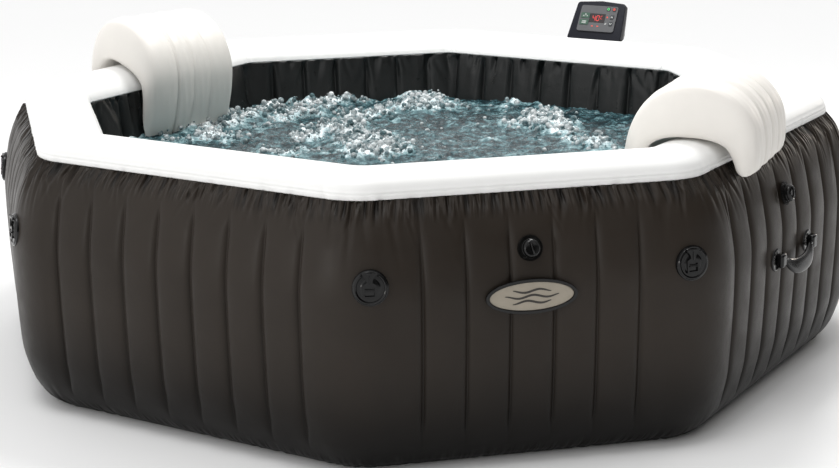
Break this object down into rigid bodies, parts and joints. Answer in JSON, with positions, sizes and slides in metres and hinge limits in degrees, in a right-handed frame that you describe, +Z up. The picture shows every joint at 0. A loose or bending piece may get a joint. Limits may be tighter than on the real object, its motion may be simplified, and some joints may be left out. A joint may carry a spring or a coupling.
{
  "type": "inflatable hot tub",
  "caption": "Octagonal inflatable hot tub with a crowned rim, two headrests, carry handles, cover-lock buckles and a control unit with a tilted panel.",
  "frame": {"origin": "centre of the tub on the underside of the ground sheet", "axes": "+Z up, -Y towards the front side with the badge, the control unit stands on the +X+Y diagonal"},
  "size_m": [2.3182, 2.3202, 0.8177],
  "materials": {
    "wall_vinyl": "embossed laminated vinyl, satin",
    "liner_vinyl": "dark laminated vinyl, satin",
    "rim_vinyl": "white vinyl, satin",
    "headrest_vinyl": "cream flocked vinyl, soft",
    "web_fabric": "woven reinforcement",
    "black_plastic": "moulded black",
    "grey_plastic": "moulded grey",
    "navy_plastic": "moulded dark blue-grey",
    "badge_plate": "champagne satin",
    "display_window": "tinted window",
    "button_rubber": "soft touch",
    "steel": "stainless"
  },
  "bodies": {
    "tub": {"air_pipe": "black_plastic", "badge_bezel": "black_plastic", "badge_plate": "badge_plate", "beam_web": "web_fabric", "blower_housing": "black_plastic", "cord_gland": "black_plastic", "drain_outlet": "black_plastic", "front_valve_seat": "black_plastic", "ground_sheet": "wall_vinyl", "heater_tube": "steel", "inner_wall": "liner_vinyl", "left_handle_anchor_a": "black_plastic", "left_handle_anchor_b": "black_plastic", "lock_patch_1": "black_plastic", "lock_patch_2": "black_plastic", "lock_patch_3": "black_plastic", "lock_patch_4": "black_plastic", "lock_patch_5": "black_plastic", "lock_patch_6": "black_plastic", "lock_patch_7": "black_plastic", "lock_patch_8": "black_plastic", "outer_wall": "wall_vinyl", "panel_neck": "navy_plastic", "pump_housing": "black_plastic", "return_pipe": "black_plastic", "right_handle_anchor_a": "black_plastic", "right_handle_anchor_b": "black_plastic", "right_valve_seat": "black_plastic", "suction_pipe": "black_plastic", "top_rim": "rim_vinyl", "tub_floor": "liner_vinyl", "unit_base": "black_plastic", "unit_casing": "grey_plastic", "unit_lid": "navy_plastic"},
    "front_valve_cap": {"front_valve_cap": "black_plastic"},
    "right_valve_cap": {"right_valve_cap": "black_plastic"},
    "drain_cap": {"drain_cap": "black_plastic"},
    "lock_buckle_1": {"lock_buckle_1": "black_plastic"},
    "lock_buckle_2": {"lock_buckle_2": "black_plastic"},
    "lock_buckle_3": {"lock_buckle_3": "black_plastic"},
    "lock_buckle_4": {"lock_buckle_4": "black_plastic"},
    "lock_buckle_5": {"lock_buckle_5": "black_plastic"},
    "lock_buckle_6": {"lock_buckle_6": "black_plastic"},
    "lock_buckle_7": {"lock_buckle_7": "black_plastic"},
    "lock_buckle_8": {"lock_buckle_8": "black_plastic"},
    "left_handle_grip": {"left_handle_grip": "black_plastic"},
    "right_handle_grip": {"right_handle_grip": "black_plastic"},
    "left_headrest": {"left_headrest": "headrest_vinyl"},
    "right_headrest": {"right_headrest": "headrest_vinyl"},
    "control_panel": {"panel_shell": "navy_plastic", "panel_fascia": "grey_plastic", "panel_display": "display_window"},
    "button_bubble": {"button_bubble": "button_rubber"},
    "button_filter": {"button_filter": "button_rubber"},
    "button_power": {"button_power": "button_rubber"},
    "button_heater": {"button_heater": "button_rubber"},
    "button_temp_up": {"button_temp_up": "button_rubber"},
    "button_temp_down": {"button_temp_down": "button_rubber"},
    "pump_impeller": {"pump_impeller": "grey_plastic"},
    "blower_fan": {"blower_fan": "grey_plastic"}
  },
  "joints": [
    {"name": "front_valve_cap_turn", "type": "hinge", "parent": "tub", "child": "front_valve_cap", "pos_m": [-0.008, -1.0849, 0.506], "axis": [0, -0.9744, 0.225], "range_deg": [0, 270]},
    {"name": "right_valve_cap_turn", "type": "hinge", "parent": "tub", "child": "right_valve_cap", "pos_m": [0.73122, -0.77223, 0.507], "axis": [0.689, -0.689, 0.225], "range_deg": [0, 270]},
    {"name": "drain_cap_turn", "type": "hinge", "parent": "tub", "child": "drain_cap", "pos_m": [0, 1.0799, 0.09], "axis": [0, 0.9781, -0.2079], "range_deg": [0, 270]},
    {"name": "lock_swing_1", "type": "hinge", "parent": "tub", "child": "lock_buckle_1", "pos_m": [-0.36935, -1.09648, 0.47699], "axis": [-0.989, 0.1478, 0], "range_deg": [0, 110]},
    {"name": "lock_swing_2", "type": "hinge", "parent": "tub", "child": "lock_buckle_2", "pos_m": [0.3654, -1.09707, 0.47699], "axis": [-0.989, -0.1478, 0], "range_deg": [0, 110]},
    {"name": "lock_swing_3", "type": "hinge", "parent": "tub", "child": "lock_buckle_3", "pos_m": [1.09648, -0.36935, 0.47699], "axis": [-0.1478, -0.989, 0], "range_deg": [0, 110]},
    {"name": "lock_swing_4", "type": "hinge", "parent": "tub", "child": "lock_buckle_4", "pos_m": [1.09707, 0.3654, 0.47699], "axis": [0.1478, -0.989, 0], "range_deg": [0, 110]},
    {"name": "lock_swing_5", "type": "hinge", "parent": "tub", "child": "lock_buckle_5", "pos_m": [0.36935, 1.09648, 0.47699], "axis": [0.989, -0.1478, 0], "range_deg": [0, 110]},
    {"name": "lock_swing_6", "type": "hinge", "parent": "tub", "child": "lock_buckle_6", "pos_m": [-0.3654, 1.09707, 0.47699], "axis": [0.989, 0.1478, 0], "range_deg": [0, 110]},
    {"name": "lock_swing_7", "type": "hinge", "parent": "tub", "child": "lock_buckle_7", "pos_m": [-1.09648, 0.36935, 0.47699], "axis": [0.1478, 0.989, 0], "range_deg": [0, 110]},
    {"name": "lock_swing_8", "type": "hinge", "parent": "tub", "child": "lock_buckle_8", "pos_m": [-1.09707, -0.3654, 0.47699], "axis": [-0.1478, 0.989, 0], "range_deg": [0, 110]},
    {"name": "left_handle_swing", "type": "hinge", "parent": "tub", "child": "left_handle_grip", "pos_m": [-0.77117, 0.77117, 0.36], "axis": [0.7071, 0.7071, 0], "range_deg": [0, 150]},
    {"name": "right_handle_swing", "type": "hinge", "parent": "tub", "child": "right_handle_grip", "pos_m": [0.77117, -0.77117, 0.36], "axis": [-0.7071, -0.7071, 0], "range_deg": [0, 150]},
    {"name": "left_headrest_lift", "type": "slide", "parent": "tub", "child": "left_headrest", "axis": [0, 0, 1], "range_m": [0, 0.25]},
    {"name": "right_headrest_lift", "type": "slide", "parent": "tub", "child": "right_headrest", "axis": [0, 0, 1], "range_m": [0, 0.25]},
    {"name": "panel_swivel", "type": "hinge", "parent": "tub", "child": "control_panel", "pos_m": [0.79832, 0.79832, 0.64], "axis": [0, 0, 1], "range_deg": [-30, 30]},
    {"name": "button_bubble_press", "type": "slide", "parent": "control_panel", "child": "button_bubble", "axis": [0.6124, 0.6124, -0.5], "range_m": [0, 0.0012], "stiffness_N_per_m": 400, "springref_m": -0.0003},
    {"name": "button_filter_press", "type": "slide", "parent": "control_panel", "child": "button_filter", "axis": [0.6124, 0.6124, -0.5], "range_m": [0, 0.0012], "stiffness_N_per_m": 400, "springref_m": -0.0003},
    {"name": "button_power_press", "type": "slide", "parent": "control_panel", "child": "button_power", "axis": [0.6124, 0.6124, -0.5], "range_m": [0, 0.0012], "stiffness_N_per_m": 400, "springref_m": -0.0003},
    {"name": "button_heater_press", "type": "slide", "parent": "control_panel", "child": "button_heater", "axis": [0.6124, 0.6124, -0.5], "range_m": [0, 0.0012], "stiffness_N_per_m": 400, "springref_m": -0.0003},
    {"name": "button_temp_up_press", "type": "slide", "parent": "control_panel", "child": "button_temp_up", "axis": [0.6124, 0.6124, -0.5], "range_m": [0, 0.0012], "stiffness_N_per_m": 400, "springref_m": -0.0003},
    {"name": "button_temp_down_press", "type": "slide", "parent": "control_panel", "child": "button_temp_down", "axis": [0.6124, 0.6124, -0.5], "range_m": [0, 0.0012], "stiffness_N_per_m": 400, "springref_m": -0.0003},
    {"name": "impeller_spin", "type": "hinge", "parent": "tub", "child": "pump_impeller", "pos_m": [0.92101, 0.73433, 0.1063], "axis": [-0.7071, -0.7071, 0], "continuous": true},
    {"name": "fan_spin", "type": "hinge", "parent": "tub", "child": "blower_fan", "pos_m": [0.93692, 0.95106, 0.26], "axis": [0, 0, 1], "continuous": true}
  ]
}
